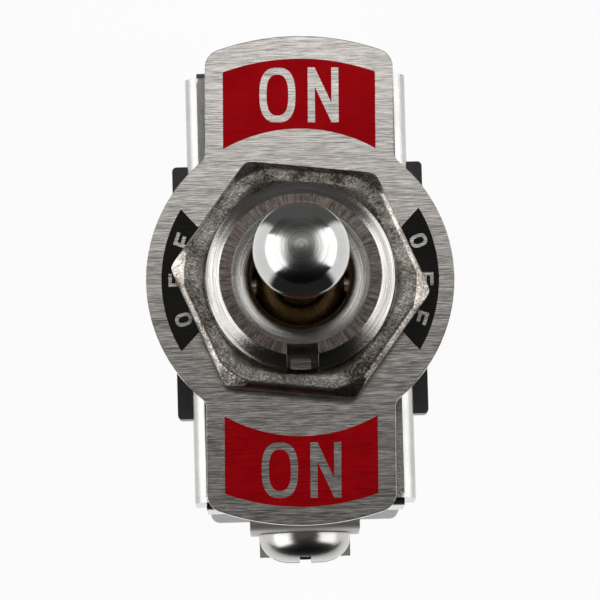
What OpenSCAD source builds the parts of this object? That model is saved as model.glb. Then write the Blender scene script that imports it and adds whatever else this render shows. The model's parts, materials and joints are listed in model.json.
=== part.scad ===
// Panel toggle switch, ON-OFF-ON, with an M12 bushing, a legend plate and three screw terminals.
// Millimetres. +Z runs along the bushing to the lever's tip and +Y along the long side of the body.
// The origin is on the bushing's axis, at the top face of the folded mounting frame.

/* [Mounting frame] */
// Outside width of the folded frame, across the lever's swing
frame_w = 14.3; // [13.6:0.1:16]
// Outside length of the folded frame, along the lever's swing
frame_l = 28.5; // [27.9:0.1:32]
// Thickness of the frame's sheet
sheet_t = 0.75; // [0.6:0.05:0.9]
// Inside radius of the frame's bends
frame_bend_r = 0.35; // [0.2:0.05:0.6]
// Depth of the end flanges, from the top face to their lower edge
flange_drop = 6.3; // [5.5:0.1:7.5]
// Width of the end flanges
end_flange_w = 12.8; // [11:0.1:13]
// Length of the side flanges
side_flange_l = 27.6; // [26:0.1:28]
// Width of each tongue that is crimped under the base's shoulders
tongue_w = 3; // [2:0.1:3.6]
// Distance from the middle of the frame to the middle of a tongue
tongue_y = 11; // [10.7:0.1:11.4]
// Length of a tongue below the side flange, down to its folded lip
tongue_drop = 1.8; // [1.4:0.1:2.6]

/* [Base] */
// Depth of the base, from the frame's top face to its underside
base_depth = 18.6; // [17.6:0.1:21]
// Thickness of the base's long walls
base_wall = 1.8; // [1.4:0.1:2.1]
// Thickness of the base's end walls
base_end_wall = 2.2; // [1.6:0.1:2.6]
// Thickness of the base's floor
base_floor = 4.4; // [3.4:0.1:4.8]
// Radius of the base's upright corners
base_corner_r = 0.6; // [0.3:0.1:1]
// Distance from the outer face of an end flange in to the end of the base below it
base_inset = 0.05; // [0:0.05:0.3]
// How far the collar stands out past each side of the frame
collar_out = 1; // [0.5:0.05:1.6]
// Length of the collar, along the base
collar_l = 16.5; // [15.6:0.1:17.6]
// Thickness of the collar
collar_t = 1.8; // [1.4:0.1:2.4]
// Depth of the collar's upper face below the frame's top face
collar_drop = 2; // [1.8:0.1:2.4]
// Height of the thickened middle of the base under the collar
waist_h = 5.2; // [3:0.1:7]

/* [Bushing] */
// Major diameter of the bushing's thread
bush_d = 12; // [11.6:0.1:13]
// Depth from the thread's crest to the surface on which a nut bears
thread_bite = 0.22; // [0.15:0.01:0.3]
// Height of the bushing's end above the frame's top face
bush_h = 8.7; // [8.2:0.1:10.5]
// Radial depth of the chamfer at the bushing's end
bush_chamfer_r = 0.85; // [0.3:0.05:1]
// Height of the chamfer at the bushing's end
bush_chamfer_h = 0.9; // [0.4:0.05:1.2]
// Bore of the bushing, round the lever
bore_d = 6.3; // [6.1:0.05:6.9]
// Diameter of the rounded mouth, where it meets the bushing's flat end
mouth_d = 8.9; // [7.6:0.1:9.4]
// Width of the keyway along the bushing
keyway_w = 2; // [1.7:0.05:2.4]
// Depth of the keyway, from the thread's crest
keyway_depth = 1.6; // [1.2:0.05:1.8]
// Length of the bushing's foot, along the base
foot_l = 14.6; // [13.4:0.1:15.2]
// Thickness of the bushing's foot
foot_t = 2.4; // [2:0.1:3]

/* [Lever] */
// Height of the lever's pivot above the frame's top face
pivot_h = 0.6; // [0.3:0.05:1.2]
// Swing of the lever to each side, in degrees
throw_deg = 12; // [9:0.5:12.5]
// Length of the lever outside the bushing
lever_out = 18.1; // [14:0.1:24]
// Diameter of the lever's rounded end
lever_end_d = 5.9; // [4.4:0.1:6.1]
// Diameter of the pivot ball
pivot_ball_d = 6; // [5.8:0.05:6.05]
// Diameter of the hollow tail below the pivot ball
tail_d = 4.6; // [4.2:0.1:4.9]
// Length of the tail below the pivot
tail_l = 7; // [6.6:0.1:7.2]
// Diameter of the pivot pin
pin_d = 1.8; // [1.4:0.1:2]
// Distance from each end of the pin to the bearing surface of the thread
pin_inset = 0.4; // [0.2:0.1:1]

/* [Plunger and spring] */
// Diameter of the plunger and of its round tip
plunger_d = 2.4; // [2:0.1:2.6]
// Distance from the lever's pivot to the centre of the plunger's tip
plunger_reach = 8; // [7.9:0.05:8.4]
// Length of the plunger's straight stem above that centre
plunger_stem = 3.2; // [2.4:0.1:3.4]
// Travel of the plunger into the lever
plunger_travel = 0.5; // [0.3:0.1:0.6]
// Wire of the plunger's spring
wire_d = 0.32; // [0.25:0.01:0.36]
// Turns of the plunger's spring
spring_turns = 5; // [4:1:6]
// Length that the spring still has to give when the plunger is fully in
spring_spare = 0.48; // [0.3:0.02:0.6]

/* [Contacts] */
// Width of the rocker, across the base
rocker_w = 4.6; // [3.6:0.1:5]
// Thickness of the rocker's metal
rocker_t = 0.9; // [0.7:0.05:1]
// Swing of the rocker to each side, in degrees
rocker_deg = 8; // [6:0.5:8]
// Height of the plunger tip's centre above the rocker's axis
tip_over_axis = 1.8; // [1.7:0.05:2]
// Height of the wings' underside above the rocker's axis
wing_h = 0.5; // [0.3:0.05:0.7]
// Diameter of the rocker's trunnions
trunnion_d = 1.4; // [1:0.1:1.6]
// Diameter of every silver contact
silver_d = 3; // [2.4:0.1:3.2]
// Thickness of every silver contact
silver_t = 0.65; // [0.5:0.05:0.8]
// Radius of the dome on the moving silver contacts
silver_dome_r = 4; // [3:0.1:8]
// Thickness of the fulcrum bracket's metal
bracket_t = 0.8; // [0.6:0.05:1]
// Width of the fulcrum bracket's ears, along the base
ear_l = 4; // [3:0.1:5]
// Thickness of the insulating sheet
insulator_t = 0.5; // [0.3:0.05:0.6]

/* [Terminals] */
// Width of every terminal blade
blade_w = 7.5; // [6.8:0.1:7.8]
// Thickness of every terminal strip
blade_t = 1; // [0.8:0.05:1.1]
// Length of the blades below the base
blade_l = 9.6; // [9:0.1:11]
// Distance from the base's end to the blade's outer face
blade_out = 0.6; // [0.3:0.05:1.2]
// Depth of the screws' axes below the base
screw_drop = 5.2; // [4.9:0.1:5.6]
// Distance from the middle of the base to the middle of the common terminal's blade
common_leg_x = 1.7; // [1.5:0.1:2]
// Width of the blade's narrow end, across its wire guards
guard_w = 6.3; // [5.4:0.1:6.4]
// How far the wire guards stand out from the blade
guard_out = 1.45; // [0.8:0.05:1.8]
// Height of the blade's narrow end
guard_h = 1.5; // [1:0.1:1.7]
// Diameter of the terminal screws' thread
screw_d = 3.5; // [3:0.1:4]
// Diameter of the terminal screws' heads
screw_head_d = 6.2; // [5.8:0.1:7]
// Height of the terminal screws' heads
screw_head_h = 2; // [1.6:0.05:2.6]
// Length of the terminal screws under their heads
screw_l = 5; // [4:0.1:6]

/* [Nuts, washer and legend plate] */
// Distance across the flats of both hexagon nuts
nut_af = 14.5; // [14.2:0.1:16]
// Thickness of both hexagon nuts
nut_t = 2.2; // [1.8:0.1:2.4]
// Radius of the rolled edge round the top of a nut
nut_edge_r = 0.5; // [0.3:0.05:0.8]
// How far in from the corners of a nut the bevel that breaks them starts
nut_bevel = 0.95; // [0.6:0.05:1.05]
// Turn of the top nut as tightened, in degrees
top_nut_turn = -6.7; // [-30:0.1:30]
// Turn of the lower nut as tightened, in degrees
lower_nut_turn = 12; // [-30:0.1:30]
// How far the lock washer reaches past the flats of the nuts
washer_over = 1; // [0.6:0.1:1.4]
// Thickness of the lock washer
washer_t = 0.5; // [0.4:0.05:0.7]
// Number of teeth inside the lock washer
washer_teeth = 12; // [8:1:16]
// Thickness of the legend plate
plate_t = 1; // [0.6:0.05:1.2]
// Length of the legend plate, between its curved ends
plate_l = 31.5; // [29:0.1:35]
// Width of the legend plate's two wings
plate_w = 12.1; // [11:0.05:13]
// Diameter of the legend plate's round middle
plate_disc_d = 19.8; // [18.8:0.1:21]
// Radius of the legend plate's outer corners
plate_corner_r = 1.2; // [0.6:0.1:1.6]
// Radius of the hollow between the round middle and a wing
plate_fillet_r = 0.8; // [0.4:0.1:1.2]
// Width of the key that stands into the keyway
key_w = 1.4; // [1.1:0.05:1.5]
// How far the legend plate sits off the bushing's axis in its loose hole
plate_shift = 0.15; // [0:0.05:0.2]
// Turn of the legend plate on its loose key, in degrees
plate_turn = -1.1; // [-2:0.1:2]

/* [Clearances] */
// Gap between pieces that are fitted together and don't move
fit_gap = 0.05; // [0.03:0.01:0.08]
// Radial running clearance of the pin, the plunger and the trunnions
run_gap = 0.04; // [0.02:0.01:0.06]
// Smallest gap round the lever as it swings
swing_gap = 0.12; // [0.1:0.01:0.2]
// Gap left between contact faces that close on each other
closing_gap = 0.03; // [0.02:0.01:0.05]

/* [Hidden] */
$fn = 48;
cut = 1;            // how far a cutting shape runs past the surface that it opens
sunk = 1;           // how far a solid runs into the one that it joins
edge = 0.2;         // chamfer on the ends of pins, rivets and contacts

nickel = "silver";
plated = "lightgray";
brass = "goldenrod";
phenolic = "#1b1b1c";

// Frame and base: the base fills the frame, and the cavity fills the base.
frame_in_w = frame_w - 2 * sheet_t;
frame_in_l = frame_l - 2 * sheet_t;
base_w = frame_in_w - 2 * fit_gap;
base_l = frame_in_l - 2 * fit_gap;
base_low_l = frame_l - 2 * base_inset;
cavity_w = base_w - 2 * base_wall;
cavity_l = base_l - 2 * base_end_wall;
collar_w = frame_w + 2 * collar_out;
window_l = collar_l + 2 * fit_gap;
lip_top = flange_drop + tongue_drop - sheet_t;
pocket_skin = 0.7;  // wall left behind the pocket of a tongue
pocket_play = 0.2;  // room at each side of a tongue in its pocket
floor_z = -base_depth + base_floor;
sheet_ledge = 0.5;  // width of the ledge that carries the insulating sheet
sheet_w = cavity_w + 2 * sheet_ledge;
sheet_l = cavity_l + 2 * sheet_ledge;

// Bushing, nuts and plate, stacked on the frame's top face.
nut_bore_r = bush_d / 2 - thread_bite;
washer_z = nut_t;
washer_r = nut_af / 2 + washer_over;
plate_z = washer_z + washer_t;
top_nut_z = plate_z + plate_t;
stack_h = top_nut_z + nut_t;
foot_z = -sheet_t - foot_t;
key_reach = 0.5;    // clear space between the key's end and the keyway's floor

// Lever: the neck is as thick as the rounded mouth allows at full swing. The two come closest
// where the round is as steep as the neck.
mouth_round = (mouth_d - bore_d) / 2;
near_r = bore_d / 2 + mouth_round * (1 - cos(throw_deg));
near_z = bush_h - mouth_round * (1 - sin(throw_deg));
neck_r = (near_r - (near_z - pivot_h) * tan(throw_deg) - swing_gap) * cos(throw_deg);
lever_end_r = lever_end_d / 2;
lever_end_z = bush_h + lever_out - lever_end_r;
neck_z = near_z;
tail_end_z = pivot_h - tail_l;
tail_bore_r = plunger_d / 2 + run_gap;
tail_clear_r = tail_d / 2 / cos(throw_deg) + swing_gap;
function tail_swing(z) = tail_clear_r + (pivot_h - z) * tan(throw_deg);

// Plunger and rocker: the trough follows the tip's path as lever and rocker turn together.
tip_r = plunger_d / 2;
tip_z = pivot_h - plunger_reach;
axis_z = tip_z - tip_over_axis;
plunger_top_z = tip_z + plunger_stem;
spring_solid = wire_d * (spring_turns + 1);
spring_top_z = plunger_top_z + spring_solid + plunger_travel + spring_spare;
tail_bore = spring_top_z - tail_end_z;
limit_rise = tip_over_axis + plunger_reach * (1 - cos(throw_deg));
limit_y = plunger_reach * sin(throw_deg) * cos(rocker_deg) - limit_rise * sin(rocker_deg);
limit_z = plunger_reach * sin(throw_deg) * sin(rocker_deg) + limit_rise * cos(rocker_deg)
    - tip_over_axis;
path_r = (limit_y * limit_y + limit_z * limit_z) / (2 * limit_z);
trough_r = path_r + tip_r + closing_gap;
trough_z = tip_over_axis + path_r;
rocker_room = 1.3;  // from the rocker's end to the cavity's wall
rocker_half = cavity_l / 2 - rocker_room;
wing_top = wing_h + rocker_t;

// Contacts: a fixed contact lies where a moving one's dome touches at full swing.
silver_margin = 0.1;    // from a moving silver to the end of its wing
foot_margin = 0.4;      // from a fixed silver to the end of its foot
contact_y = rocker_half - silver_d / 2 - silver_margin;
dome_z = wing_h - silver_t + silver_dome_r;
fixed_y = contact_y * cos(rocker_deg) + dome_z * sin(rocker_deg);
fixed_z = axis_z - contact_y * sin(rocker_deg) + dome_z * cos(rocker_deg)
    - silver_dome_r - closing_gap;
shelf_z = fixed_z - silver_t - blade_t;
leg_y = cavity_l / 2 - fit_gap;
foot_in_y = fixed_y - silver_d / 2 - foot_margin;
blade_y = base_low_l / 2 + blade_out;

// Common terminal under the bracket.
rocker_play = 0.15;     // between the rocker and each ear of the bracket
bracket_in_w = rocker_w + 2 * rocker_play;
bracket_w = bracket_in_w + 2 * bracket_t;
bracket_foot = 1;       // how far the bracket's foot reaches past its ears
bracket_l = ear_l + 2 * bracket_foot;
bracket_top_z = floor_z + bracket_t;
bracket_bend_r = 0.3;
rivet_x = (common_leg_x - blade_t / 2 - bracket_in_w / 2 + bracket_bend_r) / 2;
rivet_d = 1.5;
rivet_head_d = 2.4;
rivet_head_t = 0.45;
blade_bend_r = fit_gap;

// Unit vector, left-hand normal and the side to which a path turns.
function unit(v) = v / norm(v);
function left(v) = [-v[1], v[0]];
function turn(a, b) = sign(a[0] * b[1] - a[1] * b[0]);

// Points round one bend of a folded strip, at a distance off to the left of its middle line.
function bend_points(path, i, mid_r, off, steps = 6) =
    let (
        into = unit(path[i] - path[i - 1]),
        out = unit(path[i + 1] - path[i]),
        angle = acos(into * out),
        side = turn(into, out),
        start = path[i] - into * mid_r * tan(angle / 2),
        centre = start + left(into) * side * mid_r,
        arm = unit(start - centre),
        reach = mid_r - side * off
    )
    [for (k = [0:steps]) let (a = side * angle * k / steps)
        centre + reach * [arm[0] * cos(a) - arm[1] * sin(a), arm[0] * sin(a) + arm[1] * cos(a)]];

// One face of a folded strip, from the path's first point to its last.
function strip_side(path, mid_r, off) =
    let (n = len(path) - 1)
    concat(
        [path[0] + left(unit(path[1] - path[0])) * off],
        [for (i = [1:n - 1]) each bend_points(path, i, mid_r, off)],
        [path[n] + left(unit(path[n] - path[n - 1])) * off]
    );

function reversed(list) = [for (i = [len(list) - 1:-1:0]) list[i]];

// Folded strip seen edge-on: its middle line follows path, with bends of inside radius r.
module strip(path, t, r) {
    mid_r = r + t / 2;
    polygon(concat(strip_side(path, mid_r, t / 2), reversed(strip_side(path, mid_r, -t / 2))));
}

// Outline in the XZ plane carried along Y, centred on the XZ plane.
module along_y(length) {
    rotate([90, 0, 0]) linear_extrude(length, center = true) children();
}

// Outline in the YZ plane carried along X, centred on the YZ plane.
module along_x(length) {
    rotate([90, 0, 90]) linear_extrude(length, center = true) children();
}

// Block with rounded upright corners, from z_low to z_high.
module rounded_block(w, l, r, z_low, z_high) {
    translate([0, 0, z_low]) linear_extrude(z_high - z_low) union() {
        square([w - 2 * r, l], center = true);
        square([w, l - 2 * r], center = true);
        for (x = [-1, 1], y = [-1, 1])
            translate([x * (w / 2 - r), y * (l / 2 - r)]) circle(r);
    }
}

// Plain block centred on the Z axis, from z_low to z_high.
module block(w, l, z_low, z_high) {
    translate([-w / 2, -l / 2, z_low]) cube([w, l, z_high - z_low]);
}

// Rectangle from z_low to z_high, with its two upper corners cut to clear an inside bend.
module bevelled(w, z_low, z_high, bevel) {
    polygon([
        [-w / 2, z_low], [w / 2, z_low], [w / 2, z_high - bevel], [w / 2 - bevel, z_high],
        [-w / 2 + bevel, z_high], [-w / 2, z_high - bevel]
    ]);
}

// Folded pan of one sheet: two channels at right angles, windows for the collar, four tongues.
module mounting_frame() {
    mid = sheet_t / 2;
    across = frame_w / 2 - mid;
    along = frame_l / 2 - mid;
    lip_in = 1.6;       // from the side flange's outer face to the tip of a folded lip
    lip_bend_r = 0.1;
    color(nickel) difference() {
        union() {
            along_y(side_flange_l) strip(
                [[-across, -flange_drop], [-across, -mid], [across, -mid], [across, -flange_drop]],
                sheet_t, frame_bend_r);
            along_x(end_flange_w) strip(
                [[-along, -flange_drop], [-along, -mid], [along, -mid], [along, -flange_drop]],
                sheet_t, frame_bend_r);
            for (x = [-1, 1], y = [-1, 1])
                translate([0, y * tongue_y, 0]) along_y(tongue_w) strip(
                    [[x * across, -flange_drop + sunk], [x * across, -lip_top - mid],
                        [x * (frame_w / 2 - lip_in), -lip_top - mid]],
                    sheet_t, lip_bend_r);
        }
        block(frame_w + 2 * cut, window_l, -flange_drop - cut, -collar_drop + fit_gap);
        translate([0, 0, -sheet_t - cut]) cylinder(h = sheet_t + 2 * cut, d = bush_d + 2 * fit_gap);
    }
}

// Moulded base: body, collar and waist, hollowed for the mechanism and slotted for the terminals.
module base_housing() {
    foot_space = foot_z - fit_gap;
    sheet_seat = foot_space - insulator_t;
    base_top = -sheet_t - fit_gap;
    pocket_low = floor_z - blade_t;
    collar_low = -collar_drop - collar_t;
    collar_corner_r = 0.3;
    waist_inset = 0.3;      // from the collar's end to the end of the waist below it
    shelf_margin = 0.3;     // from a fixed contact's foot to the end of its shelf
    lip_room = 0.6;         // room under a folded lip
    rivet_room = 0.1;       // room under the rivet's head
    rivet_play = 0.2;       // room round the rivet's head
    color(phenolic) difference() {
        union() {
            intersection() {
                rounded_block(base_w, base_l, base_corner_r, -base_depth, base_top);
                along_y(base_l) bevelled(base_w, -base_depth, base_top, frame_bend_r);
                along_x(base_w) bevelled(base_l, -base_depth, base_top, frame_bend_r);
            }
            rounded_block(base_w, base_low_l, base_corner_r, -base_depth, -flange_drop - 2 * fit_gap);
            rounded_block(collar_w, collar_l, collar_corner_r, collar_low, -collar_drop);
            rounded_block(frame_w, collar_l - 2 * waist_inset, collar_corner_r,
                collar_low - waist_h, collar_low);
        }
        block(frame_in_w, foot_l + 2 * fit_gap, foot_space, 0);
        block(sheet_w, sheet_l, sheet_seat, 0);
        difference() {
            block(cavity_w, cavity_l, floor_z, 0);
            for (y = [-1, 1])
                translate([0, y * cavity_l / 2, 0])
                    block(cavity_w, 2 * (cavity_l / 2 - foot_in_y + shelf_margin), floor_z, shelf_z);
        }
        for (side = [-1, 1]) {
            translate([0, side * (leg_y - blade_t / 2), 0])
                block(blade_w + 2 * fit_gap, blade_t + 2 * fit_gap, -base_depth - cut, shelf_z + cut);
            for (y = [-1, 1])
                translate([side * (base_w / 2), y * tongue_y, 0])
                    block(2 * (base_wall - pocket_skin), tongue_w + 2 * pocket_play,
                        -lip_top - sheet_t - lip_room, -lip_top + fit_gap);
        }
        translate([common_leg_x, 0, 0])
            block(blade_t + 2 * fit_gap, blade_w + 2 * fit_gap, -base_depth - cut, floor_z + cut);
        translate([-bracket_w / 2 - fit_gap, -blade_w / 2 - fit_gap, pocket_low])
            cube([bracket_w / 2 + common_leg_x, blade_w + 2 * fit_gap, blade_t + cut]);
        translate([rivet_x, 0, pocket_low - rivet_head_t - rivet_room])
            cylinder(h = rivet_head_t + rivet_room + cut, d = rivet_head_d + 2 * rivet_play);
    }
}

// Turned bushing with a rectangular foot, a rounded mouth, a keyway and the hole for the pivot pin.
module bushing() {
    crest_r = bush_d / 2;
    flare_play = 0.2;       // room round the lever's tail in the foot
    flare_r = tail_swing(foot_z) + flare_play;
    keyway_start = 0.3;     // from the frame's top face up to the keyway's lower end
    steps = 8;
    color(plated) difference() {
        union() {
            rotate_extrude() polygon([
                [0, -sheet_t], [crest_r, -sheet_t], [crest_r, 0], [nut_bore_r, 0],
                [nut_bore_r, stack_h], [crest_r, stack_h], [crest_r, bush_h - bush_chamfer_h],
                [crest_r - bush_chamfer_r, bush_h], [0, bush_h]
            ]);
            along_y(foot_l) bevelled(frame_in_w - 2 * fit_gap, foot_z, -sheet_t, frame_bend_r);
        }
        translate([0, 0, foot_z - cut]) cylinder(h = bush_h - foot_z + 2 * cut, d = bore_d);
        translate([0, 0, bush_h]) rotate_extrude() polygon(concat(
            [[0, cut], [mouth_d / 2, cut]],
            [for (k = [0:steps]) let (a = 90 * k / steps)
                [mouth_d / 2 - mouth_round * sin(a), -mouth_round * (1 - cos(a))]],
            [[0, -mouth_round]]
        ));
        translate([0, 0, foot_z]) cylinder(h = foot_t, r1 = flare_r, r2 = bore_d / 2);
        translate([-keyway_w / 2, -crest_r - cut, keyway_start])
            cube([keyway_w, keyway_depth + cut, bush_h + cut]);
        translate([0, 0, pivot_h]) rotate([0, 90, 0])
            cylinder(h = bush_d, d = pin_d + 2 * fit_gap, center = true);
    }
}

// Section of a nut across two flats, with its upper edges rolled over.
module nut_section() {
    steps = 4;
    arc = [for (k = [0:steps]) nut_edge_r * [cos(90 * k / steps), sin(90 * k / steps)]];
    flat = nut_af / 2 - nut_edge_r;
    shoulder = nut_t - nut_edge_r;
    polygon(concat(
        [[-nut_af / 2, 0], [nut_af / 2, 0]],
        [for (p = arc) [flat + p[0], shoulder + p[1]]],
        [for (p = reversed(arc)) [-flat - p[0], shoulder + p[1]]]
    ));
}

// Hexagon nut standing on z = 0: three bars of that section cross at 60 degrees, and a cone
// breaks their upper corners.
module hex_nut() {
    bore_r = nut_bore_r + run_gap / 2;
    bevel_r = nut_af / 2 / cos(30) - nut_bevel;
    bevel_slope = 35;   // degrees below the nut's face
    sink_h = 0.3;       // depth of the countersink
    sink_over = 0.1;    // how far the countersink reaches past the thread's crest
    difference() {
        intersection() {
            intersection_for(turned = [0, 60, 120]) rotate(turned)
                along_x(2 * nut_af) nut_section();
            cylinder(h = nut_t, r1 = bevel_r + nut_t / tan(bevel_slope), r2 = bevel_r);
        }
        translate([0, 0, -cut]) cylinder(h = nut_t + 2 * cut, r = bore_r);
        translate([0, 0, nut_t - sink_h])
            cylinder(h = sink_h, r1 = bore_r, r2 = bush_d / 2 + sink_over);
    }
}

module lower_nut() {
    color(nickel) rotate(lower_nut_turn) hex_nut();
}

module top_nut() {
    color(nickel) translate([0, 0, top_nut_z]) rotate(top_nut_turn) hex_nut();
}

// Internal tooth washer: a flat ring whose teeth reach in to the thread.
module lock_washer() {
    ring_w = 1.4;
    tip_share = 0.7;    // width of a tooth's tip, as a share of its root
    ring_in = washer_r - ring_w;
    tooth_in = bush_d / 2 + fit_gap;
    tooth_w = PI * tooth_in / washer_teeth;
    tooth_root = ring_in + sunk / 4;
    tooth_tip = tooth_in - sunk / 4;
    color(nickel) translate([0, 0, washer_z]) linear_extrude(washer_t) difference() {
        union() {
            difference() {
                circle(r = washer_r);
                circle(r = ring_in);
            }
            for (k = [0:washer_teeth - 1]) rotate(360 / washer_teeth * k)
                polygon([
                    [tooth_tip, -tooth_w / 2 * tip_share], [tooth_root, -tooth_w / 2],
                    [tooth_root, tooth_w / 2], [tooth_tip, tooth_w / 2 * tip_share]
                ]);
        }
        circle(r = tooth_in);
    }
}

// Outline of the legend plate: a round middle, and two wings with curved ends and round corners.
module plate_outline() {
    end_r = plate_l / 2;
    disc_r = plate_disc_d / 2;
    corner_x = plate_w / 2 - plate_corner_r;
    corner_y = sqrt(pow(end_r - plate_corner_r, 2) - pow(corner_x, 2));
    tangent_x = corner_x * end_r / (end_r - plate_corner_r);
    hollow_x = plate_w / 2 + plate_fillet_r;
    hollow_y = sqrt(pow(disc_r + plate_fillet_r, 2) - pow(hollow_x, 2));
    touch = disc_r / (disc_r + plate_fillet_r);
    inside = 0.5;       // how far a hollow's patch runs into the plate
    circle(disc_r, $fn = 96);
    square([plate_w, 2 * corner_y], center = true);
    intersection() {
        circle(end_r, $fn = 96);
        square([2 * tangent_x, plate_l + cut], center = true);
    }
    for (x = [0, 1], y = [0, 1]) mirror([x, 0]) mirror([0, y]) {
        translate([corner_x, corner_y]) circle(plate_corner_r);
        difference() {
            polygon([
                [plate_w / 2 - inside, hollow_y * touch - inside],
                [hollow_x * touch, hollow_y * touch],
                [hollow_x, hollow_y], [plate_w / 2 - inside, hollow_y]
            ]);
            translate([hollow_x, hollow_y]) circle(plate_fillet_r);
        }
    }
}

// Flat plate with a loose hole for the bushing and a key that stops it turning.
module legend_plate() {
    hole_play = 0.3;    // room round the bushing in the plate's loose hole
    key_root = 0.2;     // how far the key runs into the plate
    hole_r = bush_d / 2 + hole_play;
    key_in = bush_d / 2 - keyway_depth + key_reach;
    color("gainsboro") translate([0, plate_shift, plate_z]) rotate(plate_turn)
    linear_extrude(plate_t) {
        difference() {
            plate_outline();
            circle(hole_r);
        }
        translate([-key_w / 2, -hole_r - key_root - plate_shift])
            square([key_w, hole_r + key_root - key_in]);
    }
}

// Bat lever: rounded end, long taper, neck, pivot ball, and a hollow tail for plunger and spring.
module toggle_lever() {
    ball_r = pivot_ball_d / 2;
    taper = asin((lever_end_r - neck_r) / (lever_end_z - neck_z));
    root_w = 0.5;       // how far the neck's root spreads on the ball
    root_h = 0.8;
    root_z = pivot_h + sqrt(ball_r * ball_r - pow(neck_r + root_w, 2));
    color(nickel) difference() {
        union() {
            translate([0, 0, lever_end_z]) sphere(lever_end_r);
            translate([0, 0, neck_z]) cylinder(
                h = lever_end_z - lever_end_r * sin(taper) - neck_z,
                r1 = neck_r, r2 = lever_end_r * cos(taper));
            translate([0, 0, pivot_h]) cylinder(h = neck_z - pivot_h, r = neck_r);
            translate([0, 0, root_z]) cylinder(h = root_h, r1 = neck_r + root_w, r2 = neck_r);
            translate([0, 0, pivot_h]) sphere(ball_r);
            translate([0, 0, tail_end_z]) cylinder(h = tail_l, d = tail_d);
        }
        translate([0, 0, pivot_h]) rotate([0, 90, 0])
            cylinder(h = bush_d, d = pin_d + 2 * run_gap, center = true);
        translate([0, 0, tail_end_z - cut]) cylinder(h = tail_bore + cut, r = tail_bore_r);
    }
}

// Pin with chamfered ends, held inside the thread by the lower nut.
module pivot_pin() {
    half = nut_bore_r - pin_inset;
    color("gray") translate([0, 0, pivot_h]) rotate([0, 90, 0]) rotate_extrude() polygon([
        [0, -half], [pin_d / 2 - edge, -half], [pin_d / 2, -half + edge],
        [pin_d / 2, half - edge], [pin_d / 2 - edge, half], [0, half]
    ]);
}

// Insulating plunger with a round tip that presses on the rocker.
module plunger() {
    color("ivory") {
        translate([0, 0, tip_z]) sphere(tip_r);
        translate([0, 0, tip_z]) cylinder(h = plunger_stem, r = tip_r);
    }
}

// Compression spring: a wire swept along a helix, between the plunger and the end of the bore.
module plunger_spring() {
    sides = 6;
    ring_count = 12 * spring_turns;
    coil_r = tip_r - wire_d / 2 - run_gap;
    bottom = plunger_top_z + wire_d / 2;
    height = spring_top_z - plunger_top_z - wire_d;
    points = [for (i = [0:ring_count], j = [0:sides - 1])
        let (
            turned = 360 * spring_turns * i / ring_count,
            round = 360 * j / sides,
            reach = coil_r + wire_d / 2 * cos(round)
        )
        [reach * cos(turned), reach * sin(turned),
            bottom + height * i / ring_count + wire_d / 2 * sin(round)]];
    skin = [for (i = [0:ring_count - 1], j = [0:sides - 1])
        let (next = (j + 1) % sides)
        [i * sides + j, (i + 1) * sides + j, (i + 1) * sides + next, i * sides + next]];
    first = [for (j = [0:sides - 1]) j];
    last = [for (j = [sides - 1:-1:0]) ring_count * sides + j];
    color("gray") polyhedron(points, concat(skin, [first, last]), convexity = 10);
}

// Fibre sheet between the bushing's foot and the contacts, slotted for the swinging tail.
module insulating_sheet() {
    top = foot_z - fit_gap;
    side_play = 0.2;    // further room at each side of the tail
    end_play = 0.1;     // further room at each end of its swing
    slot_w = tail_d + 2 * swing_gap + 2 * side_play;
    slot_l = 2 * tail_swing(top - insulator_t) + 2 * end_play;
    color("saddlebrown") difference() {
        block(sheet_w - 2 * fit_gap, sheet_l - 2 * fit_gap, top - insulator_t, top);
        block(slot_w, slot_l, top - insulator_t - cut, top + cut);
    }
}

// Pressed rocker: two wings, a trough that guides the plunger, and a trunnion at each side.
module rocker_contact() {
    trunnion_root = 0.4;    // how far a trunnion runs into the rocker
    trunnion_end = bracket_in_w / 2 + bracket_t + 0.2;
    color(brass) translate([0, 0, axis_z]) {
        along_x(rocker_w) difference() {
            union() {
                translate([-rocker_half, wing_h]) square([2 * rocker_half, rocker_t]);
                intersection() {
                    translate([0, trough_z]) circle(trough_r + rocker_t);
                    translate([-rocker_half, -tip_over_axis])
                        square([2 * rocker_half, tip_over_axis + wing_top]);
                }
            }
            translate([0, trough_z]) circle(trough_r);
        }
        for (x = [-1, 1]) rotate([0, x * 90, 0])
            translate([0, 0, rocker_w / 2 - trunnion_root])
                cylinder(h = trunnion_end - rocker_w / 2 + trunnion_root, d = trunnion_d);
    }
}

// Silver contact under a wing of the rocker, with a domed face.
module moving_silver(side) {
    color("white") translate([0, side * contact_y, axis_z + wing_h - silver_t]) intersection() {
        cylinder(h = silver_t, d = silver_d);
        translate([0, 0, silver_dome_r]) sphere(silver_dome_r, $fn = 96);
    }
}

module rocker_silver_front() {
    moving_silver(-1);
}

module rocker_silver_rear() {
    moving_silver(1);
}

// Silver contact on a fixed terminal, with a chamfered rim.
module fixed_silver(side) {
    r = silver_d / 2;
    color("white") translate([0, side * fixed_y, fixed_z - silver_t]) rotate_extrude() polygon([
        [0, 0], [r, 0], [r, silver_t - edge], [r - edge, silver_t], [0, silver_t]
    ]);
}

module front_silver() {
    fixed_silver(-1);
}

module rear_silver() {
    fixed_silver(1);
}

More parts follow.
